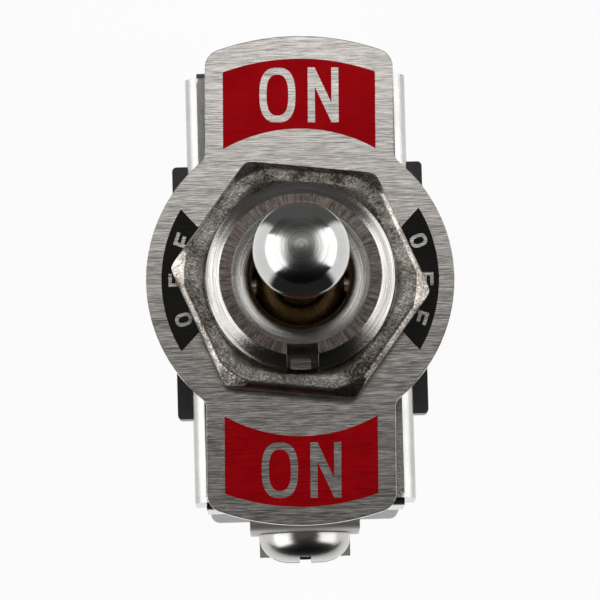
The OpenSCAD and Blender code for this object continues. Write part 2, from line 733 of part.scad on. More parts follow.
// Folded bracket whose notched ears carry the rocker's trunnions.
module fulcrum_bracket() {
    ear_x = bracket_w / 2 - bracket_t / 2;
    ear_rise = 0.2;     // height of the ears above the rocker's axis
    foot_rise = 0.6;    // height at which the bracket narrows to its ears
    ear_top = axis_z + ear_rise;
    mid = bracket_top_z - bracket_t / 2;
    color(brass) difference() {
        intersection() {
            along_y(bracket_l) strip(
                [[-ear_x, ear_top], [-ear_x, mid], [ear_x, mid], [ear_x, ear_top]], bracket_t,
                bracket_bend_r);
            union() {
                block(bracket_w + cut, bracket_l, floor_z, bracket_top_z + foot_rise);
                block(bracket_w + cut, ear_l, floor_z, ear_top);
            }
        }
        translate([0, 0, axis_z]) rotate([0, 90, 0])
            cylinder(h = bracket_w + 2 * cut, r = trunnion_d / 2 + run_gap, center = true);
        translate([rivet_x, 0, floor_z - cut]) cylinder(h = bracket_t + 2 * cut, d = rivet_d);
    }
}

// Rivet that joins the bracket to the common terminal's foot.
module common_rivet() {
    r = rivet_d / 2;
    head_r = rivet_head_d / 2;
    low = floor_z - blade_t - rivet_head_t;
    high = bracket_top_z + rivet_head_t;
    color(brass) translate([rivet_x, 0, 0]) rotate_extrude() polygon([
        [0, low], [head_r - edge, low], [head_r, low + edge], [head_r, floor_z - blade_t],
        [r, floor_z - blade_t], [r, bracket_top_z], [head_r, bracket_top_z],
        [head_r, high - edge], [head_r - edge, high], [0, high]
    ]);
}

// Narrow end of a blade with a wire guard bent out at each corner, in the blade's own place:
// its outer face looks along +Y at y = 0, and its upper end is at z = 0.
module blade_end() {
    guard_t = 0.8;
    tip_edge = 0.3;     // chamfer on a guard's tip
    tip_h = 0.8;        // height of a guard's tip
    shoulder = blade_l - guard_h;
    translate([-blade_w / 2, -blade_t, -shoulder]) cube([blade_w, blade_t, shoulder]);
    translate([-guard_w / 2, -blade_t, -blade_l]) cube([guard_w, blade_t, guard_h]);
    for (x = [-1, 1])
        translate([x * (guard_w / 2 - guard_t / 2), 0, 0]) along_x(guard_t) polygon([
            [-blade_t / 2, -blade_l], [guard_out - tip_edge, -blade_l],
            [guard_out, -blade_l + tip_edge], [guard_out, -blade_l + tip_h],
            [0, -blade_l + guard_h], [-blade_t / 2, -blade_l + guard_h]
        ]);
}

// Hole for a terminal screw, through a blade in the same place.
module blade_hole() {
    translate([0, cut, -screw_drop]) rotate([90, 0, 0])
        cylinder(h = blade_t + 2 * cut, d = screw_d + fit_gap);
}

// End terminal: foot under the fixed contact, leg through the floor, jog and blade.
module end_terminal() {
    mid = blade_t / 2;
    leg = leg_y - mid;
    color(plated) difference() {
        union() {
            along_x(blade_w) strip([
                [foot_in_y, shelf_z + mid], [leg, shelf_z + mid], [leg, -base_depth - mid],
                [blade_y - mid, -base_depth - mid], [blade_y - mid, -base_depth - 2 * blade_t - sunk]
            ], blade_t, blade_bend_r);
            translate([0, blade_y, -base_depth]) intersection() {
                blade_end();
                block(blade_w + cut, 4 * blade_t + 4 * guard_out, -blade_l, -2 * blade_t);
            }
        }
        translate([0, blade_y, -base_depth]) blade_hole();
    }
}

module rear_terminal() {
    end_terminal();
}

module front_terminal() {
    rotate(180) end_terminal();
}

// Common terminal: foot in the floor's pocket under the bracket, and a blade that faces sideways.
module common_terminal() {
    mid = blade_t / 2;
    face_x = common_leg_x + mid;
    color(plated) difference() {
        union() {
            along_y(blade_w) strip([
                [-bracket_w / 2, floor_z - mid], [common_leg_x, floor_z - mid],
                [common_leg_x, -base_depth - sunk]
            ], blade_t, blade_bend_r);
            translate([face_x, 0, -base_depth]) rotate(-90) blade_end();
        }
        translate([face_x, 0, -base_depth]) rotate(-90) blade_hole();
        translate([rivet_x, 0, floor_z - blade_t - cut])
            cylinder(h = blade_t + 2 * cut, d = rivet_d);
    }
}

// Pan-head screw along -Y, its head standing on y = 0 and looking along +Y: the head curves
// from an upright rim to a small flat. One slot runs right across it and meets a deeper cross.
module terminal_screw() {
    head_r = screw_head_d / 2;
    rim_h = 0.35;
    flat_r = 1.1;
    rise = screw_head_h - rim_h;
    run = head_r - flat_r;
    steps = 6;
    end_edge = 0.4;     // chamfer on the screw's end
    slot_w = 0.8;
    slot_depth = 0.9;
    cross_l = 3.8;
    cross_depth = 1.2;
    color(nickel) difference() {
        rotate([-90, 0, 0]) rotate_extrude() polygon(concat(
            [[0, -screw_l], [screw_d / 2 - end_edge, -screw_l],
                [screw_d / 2, -screw_l + end_edge], [screw_d / 2, 0], [head_r, 0]],
            [for (k = [0:steps]) let (a = 90 * k / steps)
                [flat_r + run * cos(a), rim_h + rise * sin(a)]],
            [[0, screw_head_h]]
        ));
        translate([-slot_w / 2, screw_head_h - slot_depth, -head_r - cut])
            cube([slot_w, slot_depth + cut, 2 * head_r + 2 * cut]);
        for (turned = [0, 90]) rotate([0, turned, 0])
            translate([-slot_w / 2, screw_head_h - cross_depth, -cross_l / 2])
                cube([slot_w, cross_depth + cut, cross_l]);
    }
}

module rear_screw() {
    translate([0, blade_y, -base_depth - screw_drop]) terminal_screw();
}

module front_screw() {
    rotate(180) rear_screw();
}

module common_screw() {
    translate([common_leg_x + blade_t / 2, 0, -base_depth - screw_drop]) rotate(-90) terminal_screw();
}

mounting_frame();
base_housing();
bushing();
lower_nut();
lock_washer();
legend_plate();
top_nut();
toggle_lever();
pivot_pin();
plunger();
plunger_spring();
insulating_sheet();
rocker_contact();
rocker_silver_front();
rocker_silver_rear();
fulcrum_bracket();
common_rivet();
common_terminal();
front_terminal();
rear_terminal();
front_silver();
rear_silver();
common_screw();
front_screw();
rear_screw();
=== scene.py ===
import json
import math

import bmesh
import bpy
import numpy as np
from mathutils import Matrix, Vector


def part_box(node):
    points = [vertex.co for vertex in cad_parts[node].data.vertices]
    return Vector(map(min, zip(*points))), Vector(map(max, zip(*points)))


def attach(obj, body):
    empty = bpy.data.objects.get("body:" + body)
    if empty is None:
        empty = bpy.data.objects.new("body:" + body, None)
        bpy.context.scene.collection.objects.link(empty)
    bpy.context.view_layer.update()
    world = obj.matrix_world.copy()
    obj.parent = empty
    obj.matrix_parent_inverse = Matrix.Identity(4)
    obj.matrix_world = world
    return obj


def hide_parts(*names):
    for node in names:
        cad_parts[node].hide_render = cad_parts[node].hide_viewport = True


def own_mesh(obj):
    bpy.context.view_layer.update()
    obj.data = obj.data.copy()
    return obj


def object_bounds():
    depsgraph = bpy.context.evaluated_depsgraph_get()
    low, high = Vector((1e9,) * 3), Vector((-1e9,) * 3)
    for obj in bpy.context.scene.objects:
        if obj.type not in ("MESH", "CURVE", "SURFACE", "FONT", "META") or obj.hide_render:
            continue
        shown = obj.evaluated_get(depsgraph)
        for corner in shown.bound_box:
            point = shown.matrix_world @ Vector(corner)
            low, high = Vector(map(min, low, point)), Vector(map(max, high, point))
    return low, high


# Looks of a panel toggle switch with a threaded bushing, a legend plate and screw terminals.
# Lengths are in millimetres until a mesh is made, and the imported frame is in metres. Z is the
# bushing's axis, with the lever's end up, and the lever swings about X.

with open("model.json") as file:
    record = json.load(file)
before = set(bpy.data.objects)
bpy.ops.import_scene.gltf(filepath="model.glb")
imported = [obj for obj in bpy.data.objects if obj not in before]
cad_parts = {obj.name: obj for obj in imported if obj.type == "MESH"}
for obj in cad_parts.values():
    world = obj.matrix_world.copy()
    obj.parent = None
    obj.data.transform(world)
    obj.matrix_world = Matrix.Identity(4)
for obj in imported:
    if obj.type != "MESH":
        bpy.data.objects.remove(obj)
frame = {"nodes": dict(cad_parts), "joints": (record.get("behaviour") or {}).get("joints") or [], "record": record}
bpy.context.view_layer.update()
cad_box = [list(corner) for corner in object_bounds()]

MM = 0.001
SMOOTH_ANGLE = math.radians(32)
DOUBLE_GAP = 2e-7         # metres, within which points of a new mesh are one
NODE_GAP = 1e-6           # the same for a copy of a node


# ---------------------------------------------------------------- sizes read from the frame

def extent(node):
    """Lowest and highest corner of a node, in millimetres."""
    low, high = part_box(node)
    return np.array(low) / MM, np.array(high) / MM


def radii_and_heights(node):
    """Distance from the Z axis and height of all points of a node, in millimetres."""
    mesh = frame["nodes"][node].data
    flat = np.zeros(len(mesh.vertices) * 3)
    mesh.vertices.foreach_get("co", flat)
    x, y, z = flat.reshape(-1, 3).T / MM
    return np.hypot(x, y), z


def joint_named(name):
    """The frame's facts of a joint."""
    return next(joint for joint in frame["joints"] if joint["name"] == name)


PLATE_LOW, PLATE_HIGH = extent("legend_plate")
LEVER_LOW, LEVER_HIGH = extent("toggle_lever")
BUSH_TOP = extent("bushing")[1][2]
PIVOT_Z = joint_named("lever_swing")["pos_m"][2] / MM
THREAD_R = 6.0            # crest of the bushing's thread
THREAD_PITCH = 0.75


# ---------------------------------------------------------------- meshes from numpy surfaces

def in_scene(name, data):
    """A new object in the scene, at the origin."""
    thing = bpy.data.objects.new(name, data)
    bpy.context.scene.collection.objects.link(thing)
    return thing


def grid_faces(rows, cols, round_rows=False, round_cols=False):
    """Quads of a grid whose points are numbered row by row. A round direction closes on itself."""
    i, j = np.meshgrid(np.arange(rows - (not round_rows)), np.arange(cols - (not round_cols)),
                       indexing="ij")
    below, beside = (i + 1) % rows, (j + 1) % cols
    corners = [i * cols + j, i * cols + beside, below * cols + beside, below * cols + j]
    return np.stack(corners, axis=-1).reshape(-1, 4)


def make_mesh(name, points, faces, smooth=SMOOTH_ANGLE):
    """Mesh in metres from points in millimetres, its doubles merged and its faces turned outwards."""
    mesh = bpy.data.meshes.new(name)
    mesh.from_pydata((np.asarray(points).reshape(-1, 3) * MM).tolist(), [], faces.tolist())
    clean(mesh)
    mesh.shade_smooth()
    mesh.set_sharp_from_angle(angle=smooth)
    return mesh


def clean(mesh):
    """Merges doubles, removes faces without area and turns the rest outwards."""
    work = bmesh.new()
    work.from_mesh(mesh)
    bmesh.ops.remove_doubles(work, verts=work.verts, dist=DOUBLE_GAP)
    bmesh.ops.dissolve_degenerate(work, edges=work.edges, dist=DOUBLE_GAP)
    bmesh.ops.recalc_face_normals(work, faces=work.faces)
    work.to_mesh(mesh)
    work.free()


def arc(centre, radius, start, end, count):
    """Points along a circle's arc, from one angle in degrees to another."""
    angle = np.radians(np.linspace(start, end, count))
    return np.column_stack([centre[0] + radius * np.cos(angle), centre[1] + radius * np.sin(angle)])


def full_turn(count):
    """Angles of the columns of a surface that goes once round the Z axis."""
    return np.linspace(0, 2 * math.pi, count, endpoint=False)[None, :]


def around_z(radius, angle, height):
    """Points at a radius, an angle and a height, each an array of the same or a fitting shape."""
    return np.stack(np.broadcast_arrays(radius * np.cos(angle), radius * np.sin(angle), height),
                    axis=-1)


def revolved(profile, count):
    """Surface of revolution: each (radius, height) of a profile is carried once round the Z axis."""
    profile = np.asarray(profile, float)
    points = around_z(profile[:, 0:1], full_turn(count), profile[:, 1:2])
    return points, grid_faces(len(profile), count, round_cols=True)


def applied(thing):
    """Mesh of a work object with its modifiers applied. The object is removed."""
    graph = bpy.context.evaluated_depsgraph_get()
    mesh = bpy.data.meshes.new_from_object(thing.evaluated_get(graph), depsgraph=graph)
    bpy.data.objects.remove(thing)
    return mesh


def modified(mesh, kind, **settings):
    """The mesh with one modifier applied."""
    thing = in_scene("work", mesh)
    modifier = thing.modifiers.new("step", kind)
    for key, setting in settings.items():
        setattr(modifier, key, setting)
    return applied(thing)


def drop_normals(mesh):
    """Removes the stored normals, which no longer fit once the mesh changes."""
    if "custom_normal" in mesh.attributes:
        mesh.attributes.remove(mesh.attributes["custom_normal"])


def settled(mesh):
    """The mesh smooth between sharp edges, with normals weighted so that flat faces stay flat."""
    drop_normals(mesh)
    mesh.shade_smooth()
    mesh.set_sharp_from_angle(angle=SMOOTH_ANGLE)
    return modified(mesh, "WEIGHTED_NORMAL", keep_sharp=True, weight=80)


def cut_from(mesh, *cutters):
    """The mesh less each cutter's solid."""
    for cutter in cutters:
        tool = in_scene("cutter", cutter)
        mesh = modified(mesh, "BOOLEAN", operation="DIFFERENCE", solver="EXACT", object=tool)
        bpy.data.objects.remove(tool)
    return settled(mesh)


def merged_copy(node):
    """A node's mesh with its points merged and its flat faces made whole."""
    mesh = frame["nodes"][node].data.copy()
    work = bmesh.new()
    work.from_mesh(mesh)
    bmesh.ops.remove_doubles(work, verts=work.verts, dist=NODE_GAP)
    bmesh.ops.dissolve_limit(work, angle_limit=math.radians(0.5), verts=work.verts,
                             edges=work.edges)
    work.to_mesh(mesh)
    work.free()
    drop_normals(mesh)
    return mesh


def rounded_copy(node, radius, segments, angle=28):
    """A merged copy of a node's mesh, rounded at its edges that are sharper than an angle."""
    return settled(modified(merged_copy(node), "BEVEL", width=radius * MM, segments=segments,
                            limit_method="ANGLE", angle_limit=math.radians(angle),
                            use_clamp_overlap=True))


# ---------------------------------------------------------------- finishes from shader nodes

class Value:
    """A number that varies over a surface. Arithmetic on it adds Math nodes to its tree."""

    def __init__(self, nodes, socket):
        self.nodes, self.socket = nodes, socket

    def __add__(self, other):
        return self.nodes.math("ADD", self, other)

    def __sub__(self, other):
        return self.nodes.math("SUBTRACT", self, other)

    def __rsub__(self, other):
        return self.nodes.math("SUBTRACT", other, self)

    def __mul__(self, other):
        return self.nodes.math("MULTIPLY", self, other)

    def __truediv__(self, other):
        return self.nodes.math("DIVIDE", self, other)

    def __abs__(self):
        return self.nodes.math("ABSOLUTE", self)

    __radd__, __rmul__ = __add__, __mul__


class Nodes:
    """A shader tree whose maths is written as Python expressions on Value objects."""

    def __init__(self, tree):
        self.tree = tree
        tree.nodes.clear()

    def node(self, kind, settings=None, *ordered, **named):
        """Adds a node: its settings first, then its sockets' values or links, in order or by name.

        A ramp's setting is its stops, as (place, grey) pairs from 0 to 1.
        """
        made = self.tree.nodes.new("ShaderNode" + kind)
        for key, setting in (settings or {}).items():
            if key == "stops":
                self.add_stops(made.color_ramp, setting)
            else:
                setattr(made, key, setting)
        sockets = dict(enumerate(ordered))
        sockets.update({key.replace("_", " "): value for key, value in named.items()})
        for key, value in sockets.items():
            self.feed(made.inputs[key], value)
        return made

    def add_stops(self, ramp, stops):
        """Gives a ramp its stops, with eased tones between them that are a little warm."""
        ramp.interpolation = "EASE"
        own = ramp.elements
        for place, tone in stops:
            stop = own[0] if place == 0 else own[-1] if place == 1 else own.new(place)
            stop.color = (tone, tone * 0.99, tone * 0.97, 1)

    def feed(self, socket, value):
        """Links a value or a socket to a socket, or sets its constant."""
        if isinstance(value, Value):
            value = value.socket
        if isinstance(value, bpy.types.NodeSocket):
            self.tree.links.new(value, socket)
        elif isinstance(value, tuple) and len(value) == 3 and socket.type == "RGBA":
            socket.default_value = (*value, 1)
        else:
            socket.default_value = value

    def math(self, operation, *values):
        """The result of a Math node."""
        return Value(self, self.node("Math", {"operation": operation}, *values).outputs[0])

    def clamp(self, value):
        """The value held between 0 and 1."""
        made = self.node("Math", {"operation": "ADD", "use_clamp": True}, value, 0.0)
        return Value(self, made.outputs[0])

    def step(self, value, low, high):
        """0 below low, 1 above high, and smooth between them. With low above high it falls."""
        made = self.node("MapRange", {"interpolation_type": "SMOOTHSTEP"}, Value=value,
                         From_Min=low, From_Max=high, To_Min=0.0, To_Max=1.0)
        return Value(self, made.outputs["Result"])

    def mixed(self, factor, first, second):
        """Colour between first and second."""
        made = self.node("Mix", {"data_type": "RGBA"})
        self.feed(made.inputs[0], factor)
        self.feed(made.inputs[6], first)
        self.feed(made.inputs[7], second)
        return made.outputs[2]


class Finish(Nodes):
    """A material with one shader, and the place on the object in millimetres."""

    def __init__(self, name, **constants):
        self.material = bpy.data.materials.new(name)
        self.material.use_nodes = True
        super().__init__(self.material.node_tree)
        self.shader = self.node("BsdfPrincipled", **constants)
        self.output = self.node("OutputMaterial", Surface=self.shader.outputs["BSDF"])
        place = self.node("TexCoord").outputs["Object"]
        self.mm = self.node("VectorMath", {"operation": "SCALE"}, Vector=place,
                            Scale=1 / MM).outputs["Vector"]
        split = self.node("SeparateXYZ", Vector=self.mm)
        self.x, self.y, self.z = (Value(self, socket) for socket in split.outputs)

    def vector(self, x, y, z):
        """A vector from three values."""
        return self.node("CombineXYZ", None, x, y, z).outputs[0]

    def stretched(self, sizes):
        """Place in millimetres, divided by a grain size along each axis."""
        return self.node("Mapping", {"vector_type": "TEXTURE"}, Vector=self.mm,
                         Scale=sizes).outputs["Vector"]

    def noise(self, vector, scale, detail, roughness):
        """Noise from 0 to 1 with scale grains to each unit of a vector."""
        made = self.node("TexNoise", None, Vector=vector, Scale=scale, Detail=detail,
                         Roughness=roughness)
        return Value(self, made.outputs["Fac"])

    def radius(self):
        """Distance from the Z axis, in millimetres."""
        return self.math("SQRT", self.x * self.x + self.y * self.y)

    def set(self, **sockets):
        """Feeds the shader's sockets with what varies over the surface."""
        for key, value in sockets.items():
            self.feed(self.shader.inputs[key.replace("_", " ")], value)
        return self

    def bump(self, *layers):
        """Adds height layers in millimetres, as (height, strength) pairs, to the normal."""
        normal = None
        for height, strength in layers:
            made = self.node("Bump", None, Strength=strength, Distance=MM, Height=height)
            if normal is not None:
                self.feed(made.inputs["Normal"], normal)
            normal = made.outputs["Normal"]
        return self.set(Normal=normal)


def nickel_steel():
    """Coarse, mottled nickel plating over pressed steel."""
    f = Finish("nickel_steel", Metallic=1.0)
    grain = f.noise(f.mm, 7, 4, 0.75)
    cloud = f.noise(f.mm, 0.55, 4, 0.65)
    tone = f.clamp((grain - 0.5) * 2.4 + (cloud - 0.5) * 2.4 + 0.42)
    f.set(Base_Color=f.mixed(tone, (0.085, 0.066, 0.05), (0.70, 0.665, 0.61)))
    f.set(Roughness=f.clamp(0.30 - tone * 0.14))
    return f.bump((grain * 0.022, 0.7), (cloud * 0.12, 0.5))


def bright_steel():
    """Bright zinc plating over the folded sheet, with a sparkle of fine dents."""
    f = Finish("bright_steel", Metallic=1.0)
    fleck = f.noise(f.mm, 6.0, 4, 0.75)
    cloud = f.noise(f.mm, 0.5, 2, 0.5)
    wave = f.noise(f.mm, 1.6, 2, 0.5)
    f.set(Base_Color=f.mixed(cloud, (0.42, 0.415, 0.405), (0.62, 0.615, 0.60)))
    f.set(Roughness=fleck * 0.12 + 0.05)
    return f.bump((fleck * 0.035, 0.7), (wave * 0.03, 0.4))


def brushed(f):
    """Height of a brushed surface, whose streaks along X are far longer than they are wide."""
    fine = f.noise(f.stretched((1.1, 0.042, 1.0)), 1.0, 2, 0.6)
    broad = f.noise(f.stretched((6.0, 0.3, 1.0)), 1.0, 2, 0.5)
    return f.clamp((fine - 0.5) * 2.6 + (broad - 0.5) * 0.6 + 0.5)


def legend_metal():
    """Aluminium brushed along X."""
    f = Finish("legend_metal", Metallic=1.0)
    streak = brushed(f)
    f.set(Base_Color=f.mixed(streak, (0.25, 0.236, 0.22), (0.95, 0.905, 0.86)))
    f.set(Roughness=streak * 0.06 + 0.15)
    return f.bump((streak * 0.0012, 0.5))


def chrome_lever():
    """Polished plating, with fine lathe rings on the lever's end."""
    f = Finish("chrome_lever", Metallic=1.0)
    top = LEVER_HIGH[2]
    cloud = f.noise(f.mm, 0.8, 2, 0.5)
    wobble = f.noise(f.mm, 1.3, 2, 0.5)
    at_end = f.step(f.z, top - 0.9, top - 0.15)
    rings = f.noise(f.vector(f.radius() * 7, 0.0, 0.0), 1.0, 3, 0.7)
    plated = f.mixed(cloud, (0.55, 0.55, 0.54), (0.64, 0.64, 0.63))
    f.set(Base_Color=f.mixed(at_end * f.step(rings, 0.40, 0.62) * 0.6, plated,
                             (0.24, 0.23, 0.21)))
    f.set(Roughness=cloud * 0.05 + 0.10 + at_end * 0.16)
    return f.bump((rings * at_end * 0.02, 0.5), (wobble * 0.03, 0.3))


def machined_bushing():
    """Plated outside, with a brown machined ring on the end and bare brass in the bore."""
    bore_r, ring_inner_r, ring_outer_r = 3.26, 4.39, 5.17
    f = Finish("machined_bushing", Metallic=1.0)
    r, angle = f.radius(), f.math("ARCTAN2", f.y, f.x)
    on_end = f.step(f.z, BUSH_TOP - 0.12, BUSH_TOP - 0.04)
    ring = (on_end * f.step(r, ring_inner_r - 0.03, ring_inner_r + 0.03)
            * f.step(r, ring_outer_r + 0.03, ring_outer_r - 0.03))
    bore = f.step(r, bore_r + 0.06, bore_r - 0.06)
    grain = f.noise(f.mm, 8, 4, 0.65)
    scratch = f.noise(f.vector(angle * 26, r * 0.9, 0.0), 1.0, 4, 0.8)
    turned = f.noise(f.vector(angle * 1.2, r * 11, f.z * 11), 1.0, 3, 0.75)
    plated = f.mixed(f.clamp(turned * 2.2 + grain * 0.4 - 0.8), (0.26, 0.25, 0.235),
                     (0.70, 0.68, 0.65))
    worn = f.mixed(f.step(scratch, 0.3, 0.72), (0.10, 0.078, 0.066), (0.46, 0.40, 0.37))
    brass = f.mixed(f.step(grain, 0.3, 0.7), (0.40, 0.25, 0.10), (0.90, 0.66, 0.36))
    f.set(Base_Color=f.mixed(bore, f.mixed(ring, plated, worn), brass))
    f.set(Roughness=f.clamp(grain * 0.12 + 0.14 + ring * 0.12 + bore * 0.16))
    return f.bump((grain * 0.02, 0.5), (turned * 0.02, 0.7), (scratch * ring * 0.03, 0.6))


def plain_metal(name, dark, light, rough, grain_size=0.15, depth=0.02):
    """Metal with a fine grain of one size, between two colours."""
    f = Finish(name, Metallic=1.0)
    grain = f.noise(f.mm, 1 / grain_size, 4, 0.6)
    cloud = f.noise(f.mm, 0.4, 2, 0.5)
    f.set(Base_Color=f.mixed(f.clamp(grain * 0.5 + cloud * 0.5), dark, light))
    f.set(Roughness=grain * 0.16 + rough)
    return f.bump((grain * depth, 0.5))


def black_phenolic():
    """Moulded black phenolic: faint flow clouds and a fine skin."""
    f = Finish("black_phenolic", IOR=1.6)
    cloud = f.noise(f.mm, 0.5, 3, 0.55)
    skin = f.noise(f.mm, 7, 3, 0.6)
    f.set(Base_Color=f.mixed(cloud, (0.008, 0.008, 0.009), (0.022, 0.021, 0.021)))
    f.set(Roughness=cloud * 0.12 + skin * 0.1 + 0.2)
    return f.bump((skin * 0.012, 0.5), (cloud * 0.12, 0.25))


def ink(name, thin, full, metallic):
    """Printed ink that lets the brushed metal's streaks through, and some of its gloss."""
    f = Finish(name, Metallic=metallic, Specular_IOR_Level=0.04)
    streak = brushed(f)
    cloud = f.noise(f.mm, 0.6, 3, 0.55)
    f.set(Base_Color=f.mixed(f.clamp(streak * 0.4 + cloud * 0.6), thin, full))
    f.set(Roughness=streak * 0.15 + 0.24)
    return f.bump((streak * 0.0015, 0.5))


def soft_stuff(name, dark, light, rough):
    """Fibre or plastic with a fine grain."""
    f = Finish(name)
    grain = f.noise(f.mm, 5, 4, 0.6)
    f.set(Base_Color=f.mixed(grain, dark, light))
    f.set(Roughness=grain * 0.15 + rough)
    return f.bump((grain * 0.02, 0.5))


NICKEL = nickel_steel()
BRIGHT = bright_steel()
LEGEND = legend_metal()
CHROME = chrome_lever()
BUSHING = machined_bushing()
TERMINAL = plain_metal("terminal_nickel", (0.56, 0.54, 0.51), (0.78, 0.76, 0.73), 0.5)
SCREW = plain_metal("screw_nickel", (0.46, 0.45, 0.44), (0.66, 0.65, 0.63), 0.16, 0.12, 0.012)
BRASS = plain_metal("pressed_brass", (0.58, 0.40, 0.16), (0.78, 0.60, 0.30), 0.18)
SILVER = plain_metal("contact_silver", (0.74, 0.73, 0.70), (0.90, 0.90, 0.88), 0.2)
SPRING = plain_metal("spring_steel", (0.36, 0.36, 0.37), (0.52, 0.52, 0.53), 0.16)
PHENOLIC = black_phenolic()
RED_INK = ink("red_ink", (0.27, 0.0, 0.002), (0.64, 0.007, 0.013), 0.62)
BLACK_INK = ink("black_ink", (0.010, 0.010, 0.010), (0.030, 0.029, 0.028), 0.0)
NYLON = soft_stuff("nylon", (0.70, 0.65, 0.52), (0.82, 0.78, 0.66), 0.35)
FIBRE = soft_stuff("fibre", (0.22, 0.09, 0.04), (0.36, 0.18, 0.09), 0.55)


# ---------------------------------------------------------------- pieces

def body_of_node(node):
    """Name of the body that a node rides on."""
    bodies = frame["record"]["behaviour"]["bodies"]
    return next(body for body, members in bodies.items() if node in members)


def add_piece(name, mesh, finish, node, stands_for_node=True):
    """A new piece on a node's body, with the finish as its material. It stands for the node, or lies on it."""
    mesh.materials.clear()
    mesh.materials.append(finish.material)
    thing = in_scene(name, mesh)
    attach(thing, body_of_node(node))
    if stands_for_node:
        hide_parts(node)
    return thing


def dress(node, finish):
    """Gives a node that stays as it is its finish."""
    for holder in frame["nodes"][node].material_slots:
        holder.material = finish.material


def round_edges(name, node, finish, radius, segments=2):
    """A piece that stands for a node, with its edges rounded."""
    return add_piece(name, rounded_copy(node, radius, segments), finish, node)


def hexagon_radius(angle, across_flats, corner_r):
    """Distance to a hexagon's outline at each angle from a corner, limited softly to corner_r."""
    inside = angle % (math.pi / 3) - math.pi / 6
    flat = across_flats / 2 / np.cos(inside)
    sharp = 70.0
    return (flat ** -sharp + corner_r ** -sharp) ** (-1 / sharp)


def hex_nut(name, node, turn):
    """Hexagon nut with rolled upper edges and its corners bevelled by a cone.

    The outer part of its section is given as insets from the flats and heights, and the inner
    part, round the bore, as radii and heights. No point stands above the cone, which falls
    towards the corners at its slope.
    """
    low, high = extent(node)
    height = high[2] - low[2]
    corner = float(radii_and_heights(node)[0].max())
    across_flats = corner * 2 * math.cos(math.pi / 6)
    roll, foot, upright_end = 0.5, 0.12, height - 0.8
    bevel, slope = 0.95, math.radians(35)
    bore, mouth, mouth_depth, burr = THREAD_R - 0.2, THREAD_R + 0.12, 0.3, 0.02
    upright = [[foot, 0], [foot * 0.3, foot * 0.3], [0, foot], [0, upright_end]]
    top = np.linspace([roll + 0.06, height], [2 * roll, height], 8)
    outer = np.concatenate([upright, arc((roll, height - roll), roll, 180, 90, 13), top])
    inner = np.array([[mouth, height], [mouth - 0.03, height - burr], [bore, height - mouth_depth],
                      [bore, burr], [bore + 0.05, 0]])
    inset, outer_z = outer.T[:, :, None]
    inner_r, inner_z = inner.T[:, :, None]
    angle = full_turn(360)
    corner_limit = corner * 0.995
    hexagon = hexagon_radius(angle, across_flats - 2 * inset, corner_limit - inset)
    radius = np.concatenate([hexagon, inner_r + 0 * angle])
    cone = height - np.maximum(0, radius - (corner - bevel)) * math.tan(slope)
    z = np.minimum(np.concatenate([outer_z, inner_z]), cone)
    grid = around_z(radius, angle + math.radians(turn), z + low[2])
    faces = grid_faces(*radius.shape, round_rows=True, round_cols=True)
    return add_piece(name, make_mesh(name, grid, faces, math.radians(40)), NICKEL, node)


def thread_groove(low, high, depth):
    """Closed helical cutter: a V section with a flat root, carried up a helix at the pitch."""
    root, crest, outside = 0.08 * THREAD_PITCH, 0.40 * THREAD_PITCH, 0.48 * THREAD_PITCH
    past = 0.16              # how far the cutter stands out past the thread's crest
    turns, steps = (high - low) / THREAD_PITCH, 72
    angle = np.linspace(0, 2 * math.pi * turns, int(steps * turns) + 1)[:, None]
    section = np.array([[-depth, -root], [-depth, root], [0.0, crest], [past, outside],
                        [past, -outside], [0.0, -crest]])
    rise = low + THREAD_PITCH * angle / (2 * math.pi)
    points = around_z(THREAD_R + section[:, 0], angle, rise + section[:, 1])
    skin = grid_faces(len(angle), len(section), round_cols=True)
    first = np.arange(len(section))
    last = first[::-1] + (len(angle) - 1) * len(section)
    mesh = bpy.data.meshes.new("groove")
    mesh.from_pydata((points.reshape(-1, 3) * MM).tolist(), [],
                     skin.tolist() + [first.tolist(), last.tolist()])
    clean(mesh)
    return mesh


def threaded_bushing():
    """The turned bushing with its thread cut in, in place of the plain node."""
    whole = rounded_copy("bushing", 0.05, 1, 40)
    drop_normals(whole)
    groove = thread_groove(-0.4, BUSH_TOP + 0.6, 0.4)
    return add_piece("threaded_bushing", cut_from(whole, groove), BUSHING, "bushing")


def bat_lever():
    """Bat lever turned about the Z axis: round end, long taper, neck, pivot ball and hollow tail."""
    radius, height = radii_and_heights("toggle_lever")
    end_r = (LEVER_HIGH[0] - LEVER_LOW[0]) / 2
    end_z = LEVER_HIGH[2] - end_r
    neck_z = BUSH_TOP - 1
    neck_r = float(radius[abs(height - neck_z) < 0.3].max())
    ball_r = (LEVER_HIGH[1] - LEVER_LOW[1]) / 2
    tail_r, tail_edge, tail_z = 2.3, 0.2, LEVER_LOW[2]
    bore_r, bore_lip, bore_top = 1.24, 0.1, tail_z + 5.1
    flare = 0.35             # how much the neck widens where it meets the ball
    taper = math.degrees(math.asin((end_r - neck_r) / (end_z - neck_z)))
    neck_angle = math.degrees(math.asin((neck_r + flare) / ball_r))
    tail_angle = math.degrees(math.asin(tail_r / ball_r))
    flare_z = PIVOT_Z + ball_r * math.cos(math.radians(neck_angle))
    neck = [[neck_r + 0.02, neck_z + 0.3], [neck_r, neck_z], [neck_r, flare_z + 0.9],
            [neck_r + 0.1, flare_z + 0.4]]
    tail = [[tail_r, tail_z + tail_edge], [tail_r - tail_edge, tail_z],
            [bore_r + bore_lip, tail_z], [bore_r, tail_z + bore_lip], [bore_r, bore_top],
            [0, bore_top]]
    profile = np.concatenate([arc((0, end_z), end_r, 90, -taper, 48), neck,
                              arc((0, PIVOT_Z), ball_r, 90 - neck_angle, -90 + tail_angle, 40),
                              tail])
    mesh = make_mesh("bat_lever", *revolved(profile, 160), math.radians(24))
    return add_piece("bat_lever", cut_from(mesh, pin_hole(0.04, 4)), CHROME, "toggle_lever")


